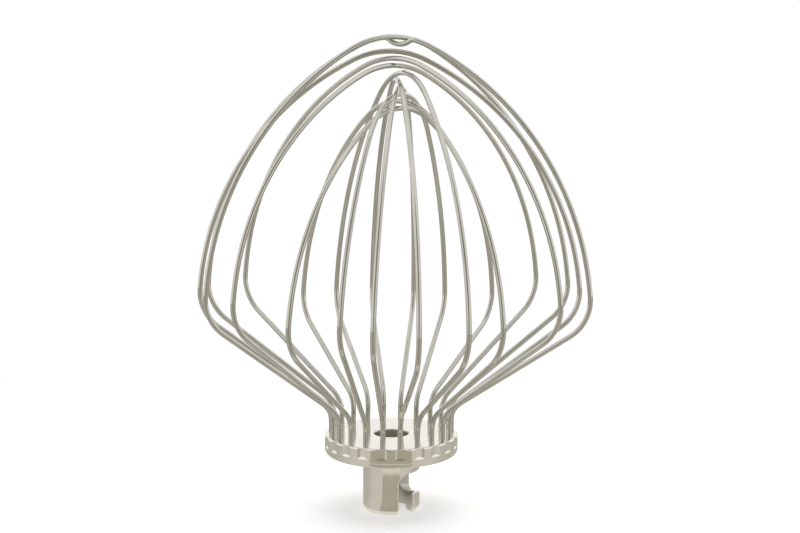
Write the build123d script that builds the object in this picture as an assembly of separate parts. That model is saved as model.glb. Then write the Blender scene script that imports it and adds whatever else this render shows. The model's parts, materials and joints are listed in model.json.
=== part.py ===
from build123d import *
from math import acos, asin, atan2, cos, degrees, hypot, radians, sin, tan
import os

# Wire whisk for a planetary stand mixer, standing on the end of its hub.
# Millimetres, +Z up. The origin is the middle of the hub's lower end, and the
# mouth of the bayonet slot faces -Y.

# Hub
PLATE_RADIUS = 25.15
PLATE_THICKNESS = 7.5
PLATE_UPPER_RADIUS = 0.8
PLATE_LOWER_RADIUS = 2.0
STUB_RADIUS = 10.75
STUB_LENGTH = 21.7
STUB_ROOT_RADIUS = 3.0
STUB_END_RADIUS = 1.8
BORE_RADIUS = 6.45
BORE_EDGE_RADIUS = 0.5

# Bayonet slot through the stub wall: in at the mouth, round by the turn, down the ramp to the seat
SLOT_WIDTH = 5.6
SLOT_ROOF_HEIGHT = 15.4
SLOT_CORNER_RADIUS = 4.3
SLOT_EDGE_RADIUS = 0.7
MOUTH_RADIUS = 1.4
BAYONET_TURN = 90.0
HOOK_HEIGHT = 8.7
HOOK_RADIUS = 1.4
SEAT_HEIGHT = 5.0
SEAT_RADIUS = 2.4

# Sockets of the wires in the plate, and the stake marks on the rim that grip them
LEG_INSET = 2.45
SOCKET_CLEARANCE = 0.05
SOCKET_FLOOR = 2.3
STAKE_PUNCH_RADIUS = 7.0
STAKE_DEPTH = 0.4
STAKE_HEIGHT = 3.4
STAKE_LEDGE = 0.9

# Wire loops; heights are above the plate, and SHOULDER_TURN is the bend past upright
WIRE_DIAMETER = 1.9
CAGE_HEIGHT = 149.5
CROWN_GAP = 0.7
CROWN_RADIUS = 30.0
SHOULDER_RADIUS = 16.5
SHOULDER_TURN = 5.0
NECK_RADIUS = 10.5
NECK_STRAIGHT = 4.8
OUTER_HALF_SPAN = 70.5
OUTER_SHOULDER_HEIGHT = 54.2
INNER_HALF_SPAN = 57.0
INNER_SHOULDER_HEIGHT = 46.9

# The second loop of the crown is bent as high as the first, stands tipped out of its plane at the
# crown by DIPPED_TIP, and dips under the first where they cross
DIPPED_PLACE = 1
DIPPED_TIP = 1.5
DIP_EASE = 3.4
HUMP_RADIUS = 3.0

# The loops in order round the hub, as hand bending has left them: size, place in the crown
# counted from the top, how far the shoulders are pushed out of the size, and how far the
# whole loop leans towards LEAN_ANGLE at its crown
LEAN_ANGLE = -33.0
LOOPS = (
    ("inner", 9, 0.0, 3.0),
    ("outer", 3, -0.5, 1.0),
    ("outer", 1, 4.0, 0.5),
    ("outer", 2, 0.5, -0.5),
    ("outer", 0, 0.0, 0.5),
    ("outer", 4, -3.5, 1.0),
    ("inner", 10, 1.0, 3.5),
    ("inner", 8, -10.0, 3.5),
    ("inner", 7, -5.0, 3.5),
    ("inner", 6, 6.0, 2.0),
    ("inner", 5, 2.5, 4.5),
)

PLATE_TOP = STUB_LENGTH + PLATE_THICKNESS
LEG_RADIUS = PLATE_RADIUS - LEG_INSET
SOCKET_BOTTOM = STUB_LENGTH + SOCKET_FLOOR
CROWN_PITCH = WIRE_DIAMETER + CROWN_GAP
DIP_RADIUS = CROWN_PITCH + DIP_EASE
LEG_COUNT = 2 * len(LOOPS)
LEG_PITCH = 360 / LEG_COUNT
MOUTH_ANGLE = -90.0
FIRST_LEG_ANGLE = MOUTH_ANGLE + LEG_PITCH / 2
WALL_MIDDLE = (BORE_RADIUS + STUB_RADIUS) / 2


def hub_body():
    """Turned form of the hub: plate, stub and bore in one section."""
    section = FilletPolyline(
        (BORE_RADIUS, 0),
        (STUB_RADIUS, 0),
        (STUB_RADIUS, STUB_LENGTH),
        (PLATE_RADIUS, STUB_LENGTH),
        (PLATE_RADIUS, PLATE_TOP),
        (BORE_RADIUS, PLATE_TOP),
        radius=[
            BORE_EDGE_RADIUS,
            STUB_END_RADIUS,
            STUB_ROOT_RADIUS,
            PLATE_LOWER_RADIUS,
            PLATE_UPPER_RADIUS,
            BORE_EDGE_RADIUS,
        ],
        close=True,
    )
    # Turned from the back, so that the seam of the round faces is clear of the slot
    return Rot(0, 0, -MOUTH_ANGLE) * revolve(Plane.XZ * make_face(section.edges()), axis=Axis.Z)


def ramp_plane():
    """Floor of the slot, falling from the hook beside the mouth to the seat of the shaft's pin."""
    hook = Vector(SLOT_WIDTH / 2, -STUB_RADIUS, HOOK_HEIGHT)
    seat = Vector(0, -STUB_RADIUS, SEAT_HEIGHT).rotate(Axis.Z, BAYONET_TURN)
    fall = seat - hook
    return Plane(origin=hook, z_dir=fall.cross(Vector(-fall.Y, fall.X, 0)))


def ramp_height(plane, x, y):
    """Height of the ramp over a point."""
    normal = plane.z_dir
    return plane.origin.Z - (normal.X * (x - plane.origin.X) + normal.Y * (y - plane.origin.Y)) / normal.Z


def slot_cutter(ramp):
    """Mouth, channel and seat of the bayonet slot as one tool."""
    half = SLOT_WIDTH / 2
    reach = 2 * STUB_RADIUS
    straight = Pos(0, SLOT_ROOF_HEIGHT / 2) * Rectangle(SLOT_WIDTH, SLOT_ROOF_HEIGHT)
    flare = Pos(0, MOUTH_RADIUS / 2) * Rectangle(SLOT_WIDTH + 2 * MOUTH_RADIUS, MOUTH_RADIUS)
    for side in (-1, 1):
        flare -= Pos(side * (half + MOUTH_RADIUS), MOUTH_RADIUS) * Circle(MOUTH_RADIUS)
    mouth = extrude(Plane.XZ * (straight + flare), amount=reach)
    seat = Rot(0, 0, BAYONET_TURN) * extrude(Plane.XZ * straight, amount=reach)
    start = degrees(asin(half / STUB_RADIUS))
    quadrant = Plane.XZ * Pos(reach / 2, SLOT_ROOF_HEIGHT / 2) * Rectangle(reach, SLOT_ROOF_HEIGHT)
    sweep_round = revolve(quadrant, axis=Axis.Z, revolution_arc=BAYONET_TURN - start)
    channel = Rot(0, 0, MOUTH_ANGLE + start) * sweep_round + seat
    return mouth + split(channel, bisect_by=ramp, keep=Keep.TOP)


def slot_corner(solid, side, angle, height):
    """Edge across the stub wall where a side of the slot meets its roof or ramp."""
    point = Vector(side * SLOT_WIDTH / 2, -WALL_MIDDLE, 0).rotate(Axis.Z, angle)
    return solid.edges().sort_by_distance((point.X, point.Y, height(point)))[0]


def cut_slot(solid):
    """Hub with its bayonet slot, corners rounded as cast."""
    ramp = ramp_plane()
    solid -= slot_cutter(ramp)

    def roof(point):
        return SLOT_ROOF_HEIGHT

    def floor(point):
        return ramp_height(ramp, point.X, point.Y)

    for side, angle, height, radius in (
        (-1, 0, roof, SLOT_CORNER_RADIUS),
        (1, 0, floor, HOOK_RADIUS),
        (1, BAYONET_TURN, roof, SEAT_RADIUS),
        (1, BAYONET_TURN, floor, SEAT_RADIUS),
    ):
        solid = fillet(slot_corner(solid, side, angle, height), radius)

    # The rounded corners make the slot's outline on the stub one smooth run, so one edge stands for it
    roof_edge = Vector(0, -STUB_RADIUS, SLOT_ROOF_HEIGHT).rotate(Axis.Z, BAYONET_TURN / 2)
    return fillet(solid.edges().sort_by_distance(roof_edge)[0], SLOT_EDGE_RADIUS)


def stake_mark():
    """Dent that a round punch leaves on the rim beside a leg, down to a ledge that slopes outwards."""
    punch = Cylinder(STAKE_PUNCH_RADIUS, 2 * PLATE_THICKNESS)
    foot = Vector(PLATE_RADIUS - STAKE_DEPTH, 0, PLATE_TOP - STAKE_HEIGHT)
    ledge = Plane(origin=foot, z_dir=(STAKE_LEDGE, 0, STAKE_DEPTH))
    return split(Pos(foot.X + STAKE_PUNCH_RADIUS, 0, PLATE_TOP) * punch, bisect_by=ledge, keep=Keep.TOP)


def crown_level(place):
    """Height of a loop's centre line where it crosses the others at the crown."""
    return PLATE_TOP + CAGE_HEIGHT - WIRE_DIAMETER / 2 - place * CROWN_PITCH


def leg_angle(index):
    """Direction of a loop's first leg."""
    return FIRST_LEG_ANGLE + index * LEG_PITCH


def loop_sway(index, lean):
    """Share of a loop's lean that lies in its own plane."""
    return lean * cos(radians(LEAN_ANGLE - leg_angle(index)))


def loop_place(index, place, lean):
    """Where a loop stands on the hub: turned to its two sockets and tipped about their floors."""
    across = lean * sin(radians(LEAN_ANGLE - leg_angle(index)))
    if place == DIPPED_PLACE:
        across += DIPPED_TIP
    tip = degrees(atan2(across, crown_level(place) - SOCKET_BOTTOM))
    floors = Pos(0, 0, SOCKET_BOTTOM)
    return Rot(0, 0, leg_angle(index)) * floors * Rot(-tip, 0, 0) * floors.inverse()


def make_hub():
    """Cast hub with its slot, stake marks and wire sockets, each drilled along its leg."""
    body = cut_slot(hub_body())
    stake = stake_mark()
    socket = Cylinder(
        WIRE_DIAMETER / 2 + SOCKET_CLEARANCE,
        PLATE_THICKNESS,
        align=(Align.CENTER, Align.CENTER, Align.MIN),
    )
    for turn in PolarLocations(0, LEG_COUNT, start_angle=FIRST_LEG_ANGLE):
        body -= turn * stake
    for index, (_, place, _, lean) in enumerate(LOOPS):
        for leg in (-LEG_RADIUS, LEG_RADIUS):
            body -= loop_place(index, place, lean) * Pos(leg, 0, SOCKET_BOTTOM) * socket
    return body


def loop_side(half_span, shoulder_height, crown_centre):
    """Centre line of half a loop in the XZ plane, from its leg over the shoulder to the crown."""
    neck_r = LEG_RADIUS + NECK_RADIUS
    neck_z = PLATE_TOP + NECK_STRAIGHT
    shoulder_r = crown_centre.X + half_span - SHOULDER_RADIUS
    shoulder_z = PLATE_TOP + shoulder_height

    # The flare is the inner tangent of the neck's and the shoulder's circles
    run, rise = shoulder_r - neck_r, shoulder_z - neck_z
    slope = atan2(rise, run) - asin((NECK_RADIUS + SHOULDER_RADIUS) / hypot(run, rise))
    flare = Vector(cos(slope), 0, sin(slope))
    across = Vector(-sin(slope), 0, cos(slope))

    # The side is an arc that follows on from the shoulder and touches the crown's circle
    turn = radians(SHOULDER_TURN)
    outward = Vector(cos(turn), 0, sin(turn))
    upward = Vector(-sin(turn), 0, cos(turn))
    shoulder_end = Vector(shoulder_r, 0, shoulder_z) + outward * SHOULDER_RADIUS
    reach = shoulder_end - crown_centre
    side_radius = (reach.dot(reach) - CROWN_RADIUS**2) / (2 * (reach.dot(outward) - CROWN_RADIUS))
    towards_crown = (outward * side_radius - reach).normalized()

    leg_end = Vector(LEG_RADIUS, 0, SOCKET_BOTTOM)
    neck_start = Vector(LEG_RADIUS, 0, neck_z)
    neck_end = Vector(neck_r, 0, neck_z) + across * NECK_RADIUS
    shoulder_start = Vector(shoulder_r, 0, shoulder_z) - across * SHOULDER_RADIUS
    crown_start = crown_centre + towards_crown * CROWN_RADIUS
    return [
        Line(leg_end, neck_start),
        TangentArc(neck_start, neck_end, tangent=(0, 0, 1)),
        Line(neck_end, shoulder_start),
        TangentArc(shoulder_start, shoulder_end, tangent=flare),
        TangentArc(shoulder_end, crown_start, tangent=upward),
    ]


def dip_turn():
    """How far round the crown from its middle the dipped loop meets the top one."""
    places = [place for _, place, _, _ in LOOPS]
    apart = (places.index(0) - places.index(DIPPED_PLACE)) * LEG_PITCH
    return degrees(asin(DIPPED_TIP / tan(radians(apart)) / CROWN_RADIUS))


def dip_points(crown_centre):
    """Ends of a dip's arcs: from the crown's circle over a hump into the dip, and out over another."""
    hump_reach = CROWN_RADIUS - HUMP_RADIUS
    dip_reach = CROWN_RADIUS - CROWN_PITCH + DIP_RADIUS
    apart = HUMP_RADIUS + DIP_RADIUS
    turn = acos((hump_reach**2 + dip_reach**2 - apart**2) / (2 * hump_reach * dip_reach))
    outward = Vector(sin(turn), 0, cos(turn))
    hump = outward * hump_reach
    towards_dip = (Vector(0, 0, dip_reach) - hump).normalized()
    near_side = [outward * CROWN_RADIUS, hump + towards_dip * HUMP_RADIUS]
    far_side = [Vector(-point.X, 0, point.Z) for point in reversed(near_side)]
    return [crown_centre + point.rotate(Axis.Y, dip_turn()) for point in near_side + far_side]


def loop_path(half_span, shoulder_height, crown_height, sway, dipped):
    """Centre line of a loop in the XZ plane, its crown moved sideways by its sway."""
    crown_centre = Vector(sway, 0, crown_height - CROWN_RADIUS)
    right = loop_side(half_span, shoulder_height, crown_centre)
    left = loop_side(half_span, shoulder_height, Vector(-sway, 0, crown_centre.Z))
    crown_start = right[-1] @ 1
    crown_end = Vector(2 * sway - crown_start.X, 0, crown_start.Z)
    points = [crown_start, *(dip_points(crown_centre) if dipped else ()), crown_end]
    heading = right[-1] % 1
    crown = []
    for start, end in zip(points, points[1:]):
        crown.append(TangentArc(start, end, tangent=heading))
        heading = crown[-1] % 1
    return Wire([*right, *crown, *(edge.mirror(Plane.YZ) for edge in left)])


def make_loop(size, place, spread, sway):
    """One bent wire, in the XZ plane."""
    half_span, shoulder_height = {
        "outer": (OUTER_HALF_SPAN, OUTER_SHOULDER_HEIGHT),
        "inner": (INNER_HALF_SPAN, INNER_SHOULDER_HEIGHT),
    }[size]
    dipped = place == DIPPED_PLACE
    crown_height = crown_level(place) + (CROWN_PITCH if dipped else 0)
    path = loop_path(half_span + spread, shoulder_height, crown_height, sway, dipped)
    return sweep((path ^ 0) * Circle(WIRE_DIAMETER / 2), path=path)


def main():
    os.makedirs("parts", exist_ok=True)
    export_step(make_hub(), "parts/hub.step")
    count = {"outer": 0, "inner": 0}
    for index, (size, place, spread, lean) in enumerate(LOOPS):
        count[size] += 1
        loop = make_loop(size, place, spread, loop_sway(index, lean))
        export_step(loop_place(index, place, lean) * loop, f"parts/{size}_wire_{count[size]}.step")


main()
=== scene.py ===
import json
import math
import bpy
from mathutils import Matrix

bl_info = {
    "name": "Stand Mixer Wire Whisk",
    "version": (1, 0, 0),
    "blender": (4, 5, 0),
    "location": "View3D > Sidebar > Whisk",
    "description": "Finishes a wire whisk for a stand mixer and sets it up in a white studio",
    "category": "Object",
}

import bpy
from mathutils import Vector

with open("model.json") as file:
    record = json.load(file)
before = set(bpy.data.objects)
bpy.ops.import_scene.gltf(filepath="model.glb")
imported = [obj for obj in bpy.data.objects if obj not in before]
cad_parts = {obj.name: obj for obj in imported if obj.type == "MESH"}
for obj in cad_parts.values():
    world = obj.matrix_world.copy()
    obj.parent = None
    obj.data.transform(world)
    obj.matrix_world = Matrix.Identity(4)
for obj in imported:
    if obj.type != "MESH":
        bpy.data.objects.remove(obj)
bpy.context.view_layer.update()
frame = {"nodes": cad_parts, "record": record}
NODES = frame["nodes"]
MM = 0.001
WHITE = (1, 1, 1, 1)

# Sizes of the solids that the finishes follow
MOUNTS = {mount["name"]: mount for mount in frame["record"]["mounts"]}
BORE_RADIUS = MOUNTS["shaft_bore"]["dims"]["r_mm"] * MM
STUB_RADIUS = 10.75 * MM
SLOT_ROOF = 15.4 * MM
WIRE_RADIUS = 0.95 * MM

# Most of a noise texture's values lie in this span
NOISE_SPAN = {"From Min": 0.3, "From Max": 0.7}


def linear(hex_colour):
    """Linear RGB of an sRGB hex value."""
    parts = [int(hex_colour[i : i + 2], 16) / 255 for i in (0, 2, 4)]
    return tuple(c / 12.92 if c <= 0.04045 else ((c + 0.055) / 1.055) ** 2.4 for c in parts)


def add_node(tree, kind, links=(), **settings):
    """A node with its settings; each link is an input and the value or output that feeds it."""
    node = tree.nodes.new(kind)
    for name, value in settings.items():
        setattr(node, name, value)
    for name, value in dict(links).items():
        if isinstance(value, bpy.types.NodeSocket):
            tree.links.new(value, node.inputs[name])
        else:
            node.inputs[name].default_value = value
    return node


def new_material(name):
    """An empty node material and its tree."""
    material = bpy.data.materials.new(name)
    material.use_nodes = True
    material.node_tree.nodes.clear()
    return material, material.node_tree


class WhiskHub(bpy.types.PropertyGroup):
    """Finish of the hub"""

    colour: bpy.props.FloatVectorProperty(
        name="Colour",
        description="Colour that the polished casting gives a white reflection",
        subtype="COLOR",
        min=0.0,
        max=1.0,
        default=linear("EDE9DE"),
    )
    roughness: bpy.props.FloatProperty(
        name="Roughness",
        description="Blur of the reflections in the polished casting",
        subtype="FACTOR",
        min=0.0,
        max=1.0,
        default=0.09,
    )
    inside_roughness: bpy.props.FloatProperty(
        name="Inside roughness",
        description="Blur of the reflections in the bore and the slot, which the wheel doesn't reach",
        subtype="FACTOR",
        min=0.0,
        max=1.0,
        default=0.45,
    )
    # Darker colour in the bore and the slot: painted shade in these hollows
    inside_painted_shade: bpy.props.FloatProperty(
        name="Inside tone",
        description="Share of the colour that the bore and the slot keep",
        subtype="FACTOR",
        min=0.0,
        max=1.0,
        default=0.75,
    )
    edge_radius: bpy.props.FloatProperty(
        name="Edge radius",
        description="Rounding that tumbling leaves on the casting's sharp edges",
        subtype="DISTANCE",
        unit="LENGTH",
        min=0.0,
        default=0.2 * MM,
    )
    ring_spacing: bpy.props.FloatProperty(
        name="Ring spacing",
        description="Distance between the fine rings that polishing on a spindle leaves",
        subtype="DISTANCE",
        unit="LENGTH",
        min=0.01 * MM,
        default=0.35 * MM,
    )


class WhiskWires(bpy.types.PropertyGroup):
    """Finish of the wire loops"""

    colour: bpy.props.FloatVectorProperty(
        name="Colour",
        description="Colour that the drawn wire gives a white reflection",
        subtype="COLOR",
        min=0.0,
        max=1.0,
        default=linear("CBC9C0"),
    )
    roughness: bpy.props.FloatProperty(
        name="Roughness",
        description="Blur of the reflections in the drawn wire",
        subtype="FACTOR",
        min=0.0,
        max=1.0,
        default=0.12,
    )
    grain: bpy.props.FloatProperty(
        name="Grain",
        description="Width of the die marks on the wire",
        subtype="DISTANCE",
        unit="LENGTH",
        min=0.01 * MM,
        default=0.3 * MM,
    )


class WhiskStage(bpy.types.PropertyGroup):
    """Floor, light and camera"""

    floor_colour: bpy.props.FloatVectorProperty(
        name="Floor",
        description="Colour of the floor",
        subtype="COLOR",
        min=0.0,
        max=1.0,
        default=linear("EFEFEE"),
    )
    card_colour: bpy.props.FloatVectorProperty(
        name="Card",
        description="Colour of the pale card round the whisk, which only the metal mirrors",
        subtype="COLOR",
        min=0.0,
        max=1.0,
        default=linear("D0CEC7"),
    )
    gap_colour: bpy.props.FloatVectorProperty(
        name="Gap",
        description="Colour of the light strip across the grey card, which lights the stub under the plate",
        subtype="COLOR",
        min=0.0,
        max=1.0,
        default=linear("E2E0D9"),
    )
    back_colour: bpy.props.FloatVectorProperty(
        name="Back card",
        description="Colour of the card behind the whisk, which only the metal mirrors",
        subtype="COLOR",
        min=0.0,
        max=1.0,
        default=linear("BCBAB3"),
    )
    side_half_angle: bpy.props.FloatProperty(
        name="Side half angle",
        description="Turn from the camera where the pale card is about half way to the back colour",
        subtype="ANGLE",
        unit="ROTATION",
        default=math.radians(80.0),
    )
    side_fade: bpy.props.FloatProperty(
        name="Side fade",
        description="How far to each side of that turn the change of colour reaches",
        subtype="ANGLE",
        unit="ROTATION",
        default=math.radians(30.0),
    )
    flag_colour: bpy.props.FloatVectorProperty(
        name="Flag",
        description="Colour of the grey card on the camera's side, which only the metal mirrors",
        subtype="COLOR",
        min=0.0,
        max=1.0,
        default=linear("AFACA0"),
    )
    flag_half_angle: bpy.props.FloatProperty(
        name="Flag half angle",
        description="How far the grey card reaches to each side of the camera, seen from the whisk",
        subtype="ANGLE",
        unit="ROTATION",
        default=math.radians(32.0),
    )
    patch_colour: bpy.props.FloatVectorProperty(
        name="Patch",
        description="Colour of the dark patch behind the camera, which only the metal mirrors",
        subtype="COLOR",
        min=0.0,
        max=1.0,
        default=linear("96928A"),
    )
    patch_height: bpy.props.FloatProperty(
        name="Patch height",
        description="How high the middle of the dark patch stands over the floor, seen from the whisk",
        subtype="ANGLE",
        unit="ROTATION",
        default=math.radians(24.0),
    )
    patch_core: bpy.props.FloatProperty(
        name="Patch core",
        description="How far the full colour of the dark patch reaches from its middle",
        subtype="ANGLE",
        unit="ROTATION",
        default=math.radians(20.0),
    )
    patch_reach: bpy.props.FloatProperty(
        name="Patch reach",
        description="How far from its middle the dark patch has faded to white",
        subtype="ANGLE",
        unit="ROTATION",
        default=math.radians(38.0),
    )
    fill: bpy.props.FloatProperty(
        name="Fill",
        description="Strength of the soft light that reaches the floor from all round",
        min=0.0,
        default=0.4,
    )
    lamp_power: bpy.props.FloatProperty(
        name="Lamp power",
        description="Power of the soft box overhead",
        subtype="POWER",
        unit="POWER",
        min=0.0,
        default=9.0,
    )
    camera_azimuth: bpy.props.FloatProperty(
        name="Camera azimuth",
        description="Turn of the camera round the whisk, counted from the mouth of the bayonet slot",
        subtype="ANGLE",
        unit="ROTATION",
        default=math.radians(-32.73),
    )
    camera_pitch: bpy.props.FloatProperty(
        name="Camera pitch",
        description="How far the camera looks down",
        subtype="ANGLE",
        unit="ROTATION",
        default=math.radians(8.18),
    )
    camera_distance: bpy.props.FloatProperty(
        name="Camera distance",
        description="Level distance from the whisk's axis to the camera",
        subtype="DISTANCE",
        unit="LENGTH",
        default=600 * MM,
    )
    camera_height: bpy.props.FloatProperty(
        name="Camera height",
        description="Height of the camera over the floor",
        subtype="DISTANCE",
        unit="LENGTH",
        default=179.1 * MM,
    )
    camera_offset: bpy.props.FloatProperty(
        name="Camera offset",
        description="How far the camera stands to the right of the whisk's axis",
        subtype="DISTANCE",
        unit="LENGTH",
        default=3.3 * MM,
    )
    lens: bpy.props.FloatProperty(
        name="Lens",
        description="Focal length on a 36 mm sensor",
        subtype="DISTANCE_CAMERA",
        unit="CAMERA",
        default=73.1,
    )


class WHISK_OT_hub(bpy.types.Operator):
    """Polish the hub"""

    bl_idname = "whisk.hub"
    bl_label = "Polish Hub"

    def execute(self, context):
        props = context.scene.whisk_hub
        cloud_size = 5 * MM
        cloud_tone = {"To Min": 0.96, "To Max": 1.03}
        cloud_blur = {"To Min": 0.8 * props.roughness, "To Max": 1.25 * props.roughness}
        ring_strength, ring_depth = 0.12, 0.02 * MM
        # The rougher, darker finish inside is full at the first distance from a border and gone at the
        # second; its darker colour is painted shade
        skin = (0.1 * MM, 0.4 * MM)
        wheel_reach = (1.0 * MM, 0.4 * MM)
        # Cast stainless steel, polished on a spindle: a warm grey mirror, a little cloudy, with
        # fine rings round the axis and softened edges that catch the light.
        material, tree = new_material("cast_stainless_polished")
        place = add_node(tree, "ShaderNodeTexCoord")
        axes = add_node(tree, "ShaderNodeSeparateXYZ", {"Vector": place.outputs["Object"]})
        across = add_node(
            tree,
            "ShaderNodeCombineXYZ",
            {"X": axes.outputs["X"], "Y": axes.outputs["Y"]},
        )
        radius = add_node(tree, "ShaderNodeVectorMath", {0: across.outputs[0]}, operation="LENGTH")
        turned = add_node(
            tree,
            "ShaderNodeCombineXYZ",
            {"X": radius.outputs["Value"], "Z": axes.outputs["Z"]},
        )
        # The rings are about a third of a millimetre apart, coarser than real ones, so that they show
        rings = add_node(
            tree,
            "ShaderNodeTexNoise",
            {"Vector": turned.outputs[0], "Scale": 1 / props.ring_spacing, "Detail": 2.0},
        )
        # Cloudy patches a few millimetres wide, from hand work on the polishing wheel
        clouds = add_node(
            tree,
            "ShaderNodeTexNoise",
            {"Vector": place.outputs["Object"], "Scale": 1 / cloud_size, "Detail": 3.0},
        )
        # The bore and the walls of the slot, which ends at its roof, are rougher, as the wheel leaves the
        # casting dull there, and darker, which is painted shade in these hollows
        borders = (
            (radius.outputs["Value"], BORE_RADIUS + skin[0], BORE_RADIUS + skin[1]),
            (radius.outputs["Value"], STUB_RADIUS - wheel_reach[0], STUB_RADIUS - wheel_reach[1]),
            (axes.outputs["Z"], SLOT_ROOF + skin[0], SLOT_ROOF + skin[1]),
        )
        in_bore, in_wall, under_roof = (
            add_node(
                tree,
                "ShaderNodeMapRange",
                {"Value": value, "From Min": full, "From Max": gone, "To Min": 1.0, "To Max": 0.0},
            )
            for value, full, gone in borders
        )
        in_slot = add_node(
            tree,
            "ShaderNodeMath",
            {0: in_wall.outputs[0], 1: under_roof.outputs[0]},
            operation="MULTIPLY",
        )
        inside = add_node(
            tree,
            "ShaderNodeMath",
            {0: in_bore.outputs[0], 1: in_slot.outputs[0]},
            operation="MAXIMUM",
        )
        tone = add_node(
            tree,
            "ShaderNodeMapRange",
            {"Value": clouds.outputs["Fac"], **NOISE_SPAN, **cloud_tone},
        )
        # Painted shade: the bore and the slot keep only the inside share of the colour
        grey = add_node(
            tree,
            "ShaderNodeMapRange",
            {"Value": inside.outputs[0], "To Min": tone.outputs[0], "To Max": props.inside_painted_shade},
        )
        colour = add_node(
            tree,
            "ShaderNodeVectorMath",
            {0: tuple(props.colour), "Scale": grey.outputs[0]},
            operation="SCALE",
        )
        blur = add_node(
            tree,
            "ShaderNodeMapRange",
            {"Value": clouds.outputs["Fac"], **NOISE_SPAN, **cloud_blur},
        )
        dulled = add_node(
            tree,
            "ShaderNodeMapRange",
            {"Value": inside.outputs[0], "To Min": blur.outputs[0], "To Max": props.inside_roughness},
        )
        edges = add_node(tree, "ShaderNodeBevel", {"Radius": props.edge_radius}, samples=6)
        bump = add_node(
            tree,
            "ShaderNodeBump",
            {
                "Strength": ring_strength,
                "Distance": ring_depth,
                "Height": rings.outputs["Fac"],
                "Normal": edges.outputs[0],
            },
        )
        metal = add_node(
            tree,
            "ShaderNodeBsdfPrincipled",
            {
                "Base Color": colour.outputs[0],
                "Metallic": 1.0,
                "Roughness": dulled.outputs[0],
                "Normal": bump.outputs[0],
            },
        )
        add_node(tree, "ShaderNodeOutputMaterial", {"Surface": metal.outputs[0]})
        NODES["hub"].material_slots[0].material = material
        return {"FINISHED"}


class WHISK_OT_wires(bpy.types.Operator):
    """Finish the wire loops"""

    bl_idname = "whisk.wires"
    bl_label = "Finish Wires"

    def execute(self, context):
        props = context.scene.whisk_wires
        mark_length = 15 * MM
        mark_blur = {"To Min": 0.85 * props.roughness, "To Max": 1.2 * props.roughness}
        wave_size, wave_strength, wave_depth = 1.5 * MM, 0.3, 0.08 * MM
        handling_size = 14 * MM
        handling_tone = {"To Min": 0.93, "To Max": 1.04}
        # Hard drawn stainless wire: bright but not mirror smooth, with fine die marks that change its gloss
        material, tree = new_material("drawn_stainless_wire")
        place = add_node(tree, "ShaderNodeTexCoord")
        # The marks run along the wire. A loop stands in a plane close to the whisk's axis, so how far the
        # surface turns out of that plane tells the marks apart, and the place moves on slowly along them.
        # They are drawn coarser than real ones, so that they show.
        across = add_node(
            tree,
            "ShaderNodeVectorMath",
            {0: (0, 0, 1), 1: place.outputs["Object"]},
            operation="CROSS_PRODUCT",
        )
        side = add_node(tree, "ShaderNodeVectorMath", {0: across.outputs[0]}, operation="NORMALIZE")
        turn = add_node(
            tree,
            "ShaderNodeVectorMath",
            {0: place.outputs["Normal"], 1: side.outputs[0]},
            operation="DOT_PRODUCT",
        )
        along = add_node(
            tree,
            "ShaderNodeVectorMath",
            {0: place.outputs["Object"], "Scale": 1 / mark_length},
            operation="SCALE",
        )
        drawn = add_node(
            tree,
            "ShaderNodeVectorMath",
            {0: turn.outputs["Value"], 1: (WIRE_RADIUS / props.grain, 0, 0), 2: along.outputs[0]},
            operation="MULTIPLY_ADD",
        )
        marks = add_node(
            tree,
            "ShaderNodeTexNoise",
            {"Vector": drawn.outputs[0], "Scale": 1.0, "Detail": 1.0},
        )
        # Slight waviness of the drawn surface, coarser than the real one, so that the highlights show it
        waves = add_node(
            tree,
            "ShaderNodeTexNoise",
            {"Vector": place.outputs["Object"], "Scale": 1 / wave_size, "Detail": 1.0},
        )
        # Slow changes of tone along a loop, where it was bent and handled
        handling = add_node(
            tree,
            "ShaderNodeTexNoise",
            {"Vector": place.outputs["Object"], "Scale": 1 / handling_size, "Detail": 2.0},
        )
        tone = add_node(
            tree,
            "ShaderNodeMapRange",
            {"Value": handling.outputs["Fac"], **NOISE_SPAN, **handling_tone},
        )
        colour = add_node(
            tree,
            "ShaderNodeVectorMath",
            {0: tuple(props.colour), "Scale": tone.outputs[0]},
            operation="SCALE",
        )
        blur = add_node(
            tree,
            "ShaderNodeMapRange",
            {"Value": marks.outputs["Fac"], **NOISE_SPAN, **mark_blur},
        )
        bump = add_node(
            tree,
            "ShaderNodeBump",
            {"Strength": wave_strength, "Distance": wave_depth, "Height": waves.outputs["Fac"]},
        )
        metal = add_node(
            tree,
            "ShaderNodeBsdfPrincipled",
            {
                "Base Color": colour.outputs[0],
                "Metallic": 1.0,
                "Roughness": blur.outputs[0],
                "Normal": bump.outputs[0],
            },
        )
        add_node(tree, "ShaderNodeOutputMaterial", {"Surface": metal.outputs[0]})
        for name, node in NODES.items():
            if name != "hub":
                node.material_slots[0].material = material
        return {"FINISHED"}


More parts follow.
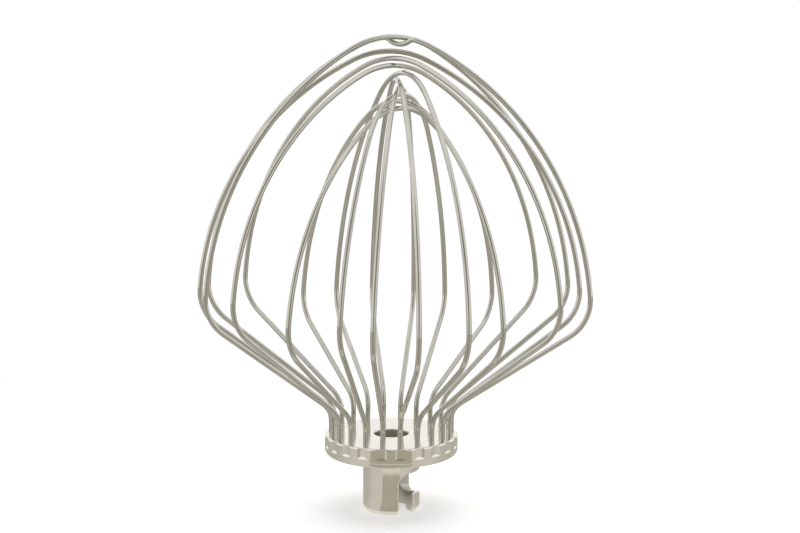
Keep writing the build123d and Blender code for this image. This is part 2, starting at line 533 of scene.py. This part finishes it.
class WHISK_OT_stage(bpy.types.Operator):
    """Set up the floor, the light and the camera"""

    bl_idname = "whisk.stage"
    bl_label = "Set Up Studio"

    def execute(self, context):
        props = context.scene.whisk_stage
        self.make_world(context, props)
        self.make_floor(context, props)
        self.make_cards(context, props)
        self.make_lamp(context, props)
        self.make_camera(context, props)
        context.scene.view_settings.view_transform = "Standard"
        return {"FINISHED"}

    def towards_camera(self, props):
        """Level direction from the whisk to the camera."""
        return Vector((math.sin(props.camera_azimuth), -math.cos(props.camera_azimuth), 0))

    def seen(self, tree, ray):
        """Value that is 1 for what the camera sees, itself or in metal or glass."""
        direct = add_node(
            tree,
            "ShaderNodeMath",
            {0: ray.outputs["Is Camera Ray"], 1: ray.outputs["Is Glossy Ray"]},
            operation="MAXIMUM",
        )
        either = add_node(
            tree,
            "ShaderNodeMath",
            {0: direct.outputs[0], 1: ray.outputs["Is Transmission Ray"]},
            operation="MAXIMUM",
        )
        return either.outputs[0]

    def make_world(self, context, props):
        """White all round, with a dark patch behind and over the camera that only the metal mirrors."""
        world = bpy.data.worlds.new("studio")
        world.use_nodes = True
        tree = world.node_tree
        tree.nodes.clear()
        place = add_node(tree, "ShaderNodeTexCoord")
        middle = self.towards_camera(props) * math.cos(props.patch_height)
        middle.z = math.sin(props.patch_height)
        nearness = add_node(
            tree,
            "ShaderNodeVectorMath",
            {0: place.outputs["Generated"], 1: middle},
            operation="DOT_PRODUCT",
        )
        patch = add_node(
            tree,
            "ShaderNodeMapRange",
            {
                "Value": nearness.outputs["Value"],
                "From Min": math.cos(props.patch_reach),
                "From Max": math.cos(props.patch_core),
            },
            interpolation_type="SMOOTHSTEP",
        )
        ray = add_node(tree, "ShaderNodeLightPath")
        mirrored = add_node(
            tree,
            "ShaderNodeMath",
            {0: ray.outputs["Is Glossy Ray"], 1: patch.outputs[0]},
            operation="MULTIPLY",
        )
        white = add_node(tree, "ShaderNodeBackground", {"Color": WHITE, "Strength": 1.0})
        dark = add_node(tree, "ShaderNodeBackground", {"Color": (*props.patch_colour, 1), "Strength": 1.0})
        fill = add_node(tree, "ShaderNodeBackground", {"Color": WHITE, "Strength": props.fill})
        shown = add_node(
            tree,
            "ShaderNodeMixShader",
            {0: mirrored.outputs[0], 1: white.outputs[0], 2: dark.outputs[0]},
        )
        mixed = add_node(
            tree,
            "ShaderNodeMixShader",
            {0: self.seen(tree, ray), 1: fill.outputs[0], 2: shown.outputs[0]},
        )
        add_node(tree, "ShaderNodeOutputWorld", {"Surface": mixed.outputs[0]})
        context.scene.world = world

    def make_floor(self, context, props):
        """Pale floor that keeps the whisk's shadow and fades to white round it."""
        half_width = 4.0
        shadow_reach, white_from = 60 * MM, 300 * MM
        tooth_size, tooth_strength, tooth_depth = 2 * MM, 0.05, 0.05 * MM
        own_white = 0.45
        corners = [(x * half_width, y * half_width, 0) for x, y in ((-1, -1), (1, -1), (1, 1), (-1, 1))]
        mesh = bpy.data.meshes.new("floor")
        mesh.from_pydata(corners, [], [(0, 1, 2, 3)])
        floor = bpy.data.objects.new("floor", mesh)
        context.scene.collection.objects.link(floor)
        # Matt white paper sweep, with a fine tooth
        material, tree = new_material("matt_white_paper")
        seen = self.seen(tree, add_node(tree, "ShaderNodeLightPath"))
        place = add_node(tree, "ShaderNodeTexCoord")
        tooth = add_node(
            tree,
            "ShaderNodeTexNoise",
            {"Vector": place.outputs["Object"], "Scale": 1 / tooth_size, "Detail": 2.0},
        )
        bump = add_node(
            tree,
            "ShaderNodeBump",
            {"Strength": tooth_strength, "Distance": tooth_depth, "Height": tooth.outputs["Fac"]},
        )
        paper = add_node(
            tree,
            "ShaderNodeBsdfDiffuse",
            {"Color": (*props.floor_colour, 1), "Normal": bump.outputs[0]},
        )
        lift = add_node(tree, "ShaderNodeMath", {0: seen, 1: own_white}, operation="MULTIPLY")
        glow = add_node(tree, "ShaderNodeEmission", {"Color": WHITE, "Strength": lift.outputs[0]})
        near = add_node(tree, "ShaderNodeAddShader", {0: paper.outputs[0], 1: glow.outputs[0]})
        distance = add_node(tree, "ShaderNodeVectorMath", {0: place.outputs["Object"]}, operation="LENGTH")
        fade = add_node(
            tree,
            "ShaderNodeMapRange",
            {"Value": distance.outputs["Value"], "From Min": shadow_reach, "From Max": white_from},
            interpolation_type="SMOOTHSTEP",
        )
        faded = add_node(tree, "ShaderNodeMath", {0: seen, 1: fade.outputs[0]}, operation="MULTIPLY")
        white = add_node(tree, "ShaderNodeEmission", {"Color": WHITE, "Strength": 1.0})
        mixed = add_node(
            tree,
            "ShaderNodeMixShader",
            {0: faded.outputs[0], 1: near.outputs[0], 2: white.outputs[0]},
        )
        add_node(tree, "ShaderNodeOutputMaterial", {"Surface": mixed.outputs[0]})
        mesh.materials.append(material)

    def make_cards(self, context, props):
        """Pale card round the whisk, and a grey one on the camera's side that rises behind the camera."""
        # Distances from the axis: where the cards start, the light strip across the grey one, and their end
        near, gap_near, gap_far, far = 13 * MM, 68 * MM, 92 * MM, 900 * MM
        # The cards lie just over the floor, and the grey one stands up at its far end
        lift, top = 0.2 * MM, 100 * MM
        facing = props.camera_azimuth - math.pi / 2
        left, right = facing - props.flag_half_angle, facing + props.flag_half_angle
        flags = {
            "flag_near": (props.flag_colour, [(near, lift), (gap_near, lift)]),
            "flag_gap": (props.gap_colour, [(gap_near, lift), (gap_far, lift)]),
            "flag_far": (props.flag_colour, [(gap_far, lift), (far, lift), (far, top)]),
        }
        for name, (colour, profile) in flags.items():
            tree = self.make_card(context, name, profile, left, right)
            grey = add_node(tree, "ShaderNodeEmission", {"Color": (*colour, 1), "Strength": 1.0})
            add_node(tree, "ShaderNodeOutputMaterial", {"Surface": grey.outputs[0]})
        tree = self.make_card(context, "card_round", [(near, lift), (far, lift)], right, left + math.tau)
        # The round card darkens slowly towards the back, so that the metal mirrors no edge there
        place = add_node(tree, "ShaderNodeTexCoord")
        outwards = add_node(
            tree,
            "ShaderNodeVectorMath",
            {0: place.outputs["Object"]},
            operation="NORMALIZE",
        )
        nearness = add_node(
            tree,
            "ShaderNodeVectorMath",
            {0: outwards.outputs[0], 1: self.towards_camera(props)},
            operation="DOT_PRODUCT",
        )
        darkened = add_node(
            tree,
            "ShaderNodeMapRange",
            {
                "Value": nearness.outputs["Value"],
                "From Min": math.cos(props.side_half_angle - props.side_fade),
                "From Max": math.cos(props.side_half_angle + props.side_fade),
            },
            interpolation_type="SMOOTHSTEP",
        )
        pale = add_node(tree, "ShaderNodeEmission", {"Color": (*props.card_colour, 1), "Strength": 1.0})
        back = add_node(tree, "ShaderNodeEmission", {"Color": (*props.back_colour, 1), "Strength": 1.0})
        mixed = add_node(
            tree,
            "ShaderNodeMixShader",
            {0: darkened.outputs[0], 1: pale.outputs[0], 2: back.outputs[0]},
        )
        add_node(tree, "ShaderNodeOutputMaterial", {"Surface": mixed.outputs[0]})

    def make_card(self, context, name, profile, start, end):
        """Card bent round the axis, from a profile of radius and height, and its empty node tree."""
        steps = 48
        count = len(profile)
        points = []
        for i in range(steps + 1):
            angle = start + (end - start) * i / steps
            points += [(radius * math.cos(angle), radius * math.sin(angle), z) for radius, z in profile]
        faces = []
        for i in range(steps):
            for j in range(count - 1):
                a = count * i + j
                faces.append((a, a + 1, a + count + 1, a + count))
        mesh = bpy.data.meshes.new(name)
        mesh.from_pydata(points, [], faces)
        card = bpy.data.objects.new(name, mesh)
        context.scene.collection.objects.link(card)
        # Matt card that gives its own tone to the metal and no shade to the floor
        material, tree = new_material(f"matt_{name}")
        mesh.materials.append(material)
        card.visible_camera = False
        card.visible_diffuse = False
        card.visible_shadow = False
        return tree

    def make_lamp(self, context, props):
        """One wide soft box overhead, which the metal doesn't mirror."""
        place = Vector((0.15, 0.1, 1.3))
        lamp = bpy.data.lights.new("soft_box", "AREA")
        lamp.shape = "DISK"
        lamp.size = 1.2
        lamp.energy = props.lamp_power
        holder = bpy.data.objects.new("soft_box", lamp)
        holder.location = place
        holder.rotation_euler = (-place).to_track_quat("-Z", "Y").to_euler()
        holder.visible_glossy = False
        context.scene.collection.objects.link(holder)

    def make_camera(self, context, props):
        """Camera at the photograph's angle."""
        camera = bpy.data.cameras.new("camera")
        camera.sensor_fit = "HORIZONTAL"
        camera.sensor_width = 36.0
        camera.lens = props.lens
        camera.clip_start = 0.01
        holder = bpy.data.objects.new("camera", camera)
        right = Vector((math.cos(props.camera_azimuth), math.sin(props.camera_azimuth), 0))
        holder.location = self.towards_camera(props) * props.camera_distance + right * props.camera_offset
        holder.location.z = props.camera_height
        holder.rotation_euler = (math.pi / 2 - props.camera_pitch, 0, props.camera_azimuth)
        context.scene.collection.objects.link(holder)
        context.scene.camera = holder


class WHISK_PT_panel(bpy.types.Panel):
    """Settings and steps of the whisk, group by group"""

    bl_idname = "WHISK_PT_panel"
    bl_label = "Wire Whisk"
    bl_space_type = "VIEW_3D"
    bl_region_type = "UI"
    bl_category = "Whisk"

    def draw(self, context):
        for operator, group in (
            (WHISK_OT_hub, context.scene.whisk_hub),
            (WHISK_OT_wires, context.scene.whisk_wires),
            (WHISK_OT_stage, context.scene.whisk_stage),
        ):
            box = self.layout.box()
            for name in group.__annotations__:
                box.prop(group, name)
            box.operator(operator.bl_idname)


CLASSES = (
    WhiskHub,
    WhiskWires,
    WhiskStage,
    WHISK_OT_hub,
    WHISK_OT_wires,
    WHISK_OT_stage,
    WHISK_PT_panel,
)


def register():
    for cls in CLASSES:
        bpy.utils.register_class(cls)
    bpy.types.Scene.whisk_hub = bpy.props.PointerProperty(type=WhiskHub)
    bpy.types.Scene.whisk_wires = bpy.props.PointerProperty(type=WhiskWires)
    bpy.types.Scene.whisk_stage = bpy.props.PointerProperty(type=WhiskStage)


def unregister():
    del bpy.types.Scene.whisk_stage
    del bpy.types.Scene.whisk_wires
    del bpy.types.Scene.whisk_hub
    for cls in reversed(CLASSES):
        bpy.utils.unregister_class(cls)


def main():
    register()
    bpy.ops.whisk.stage()
    bpy.ops.whisk.hub()
    bpy.ops.whisk.wires()


if __name__ == "__main__":
    main()
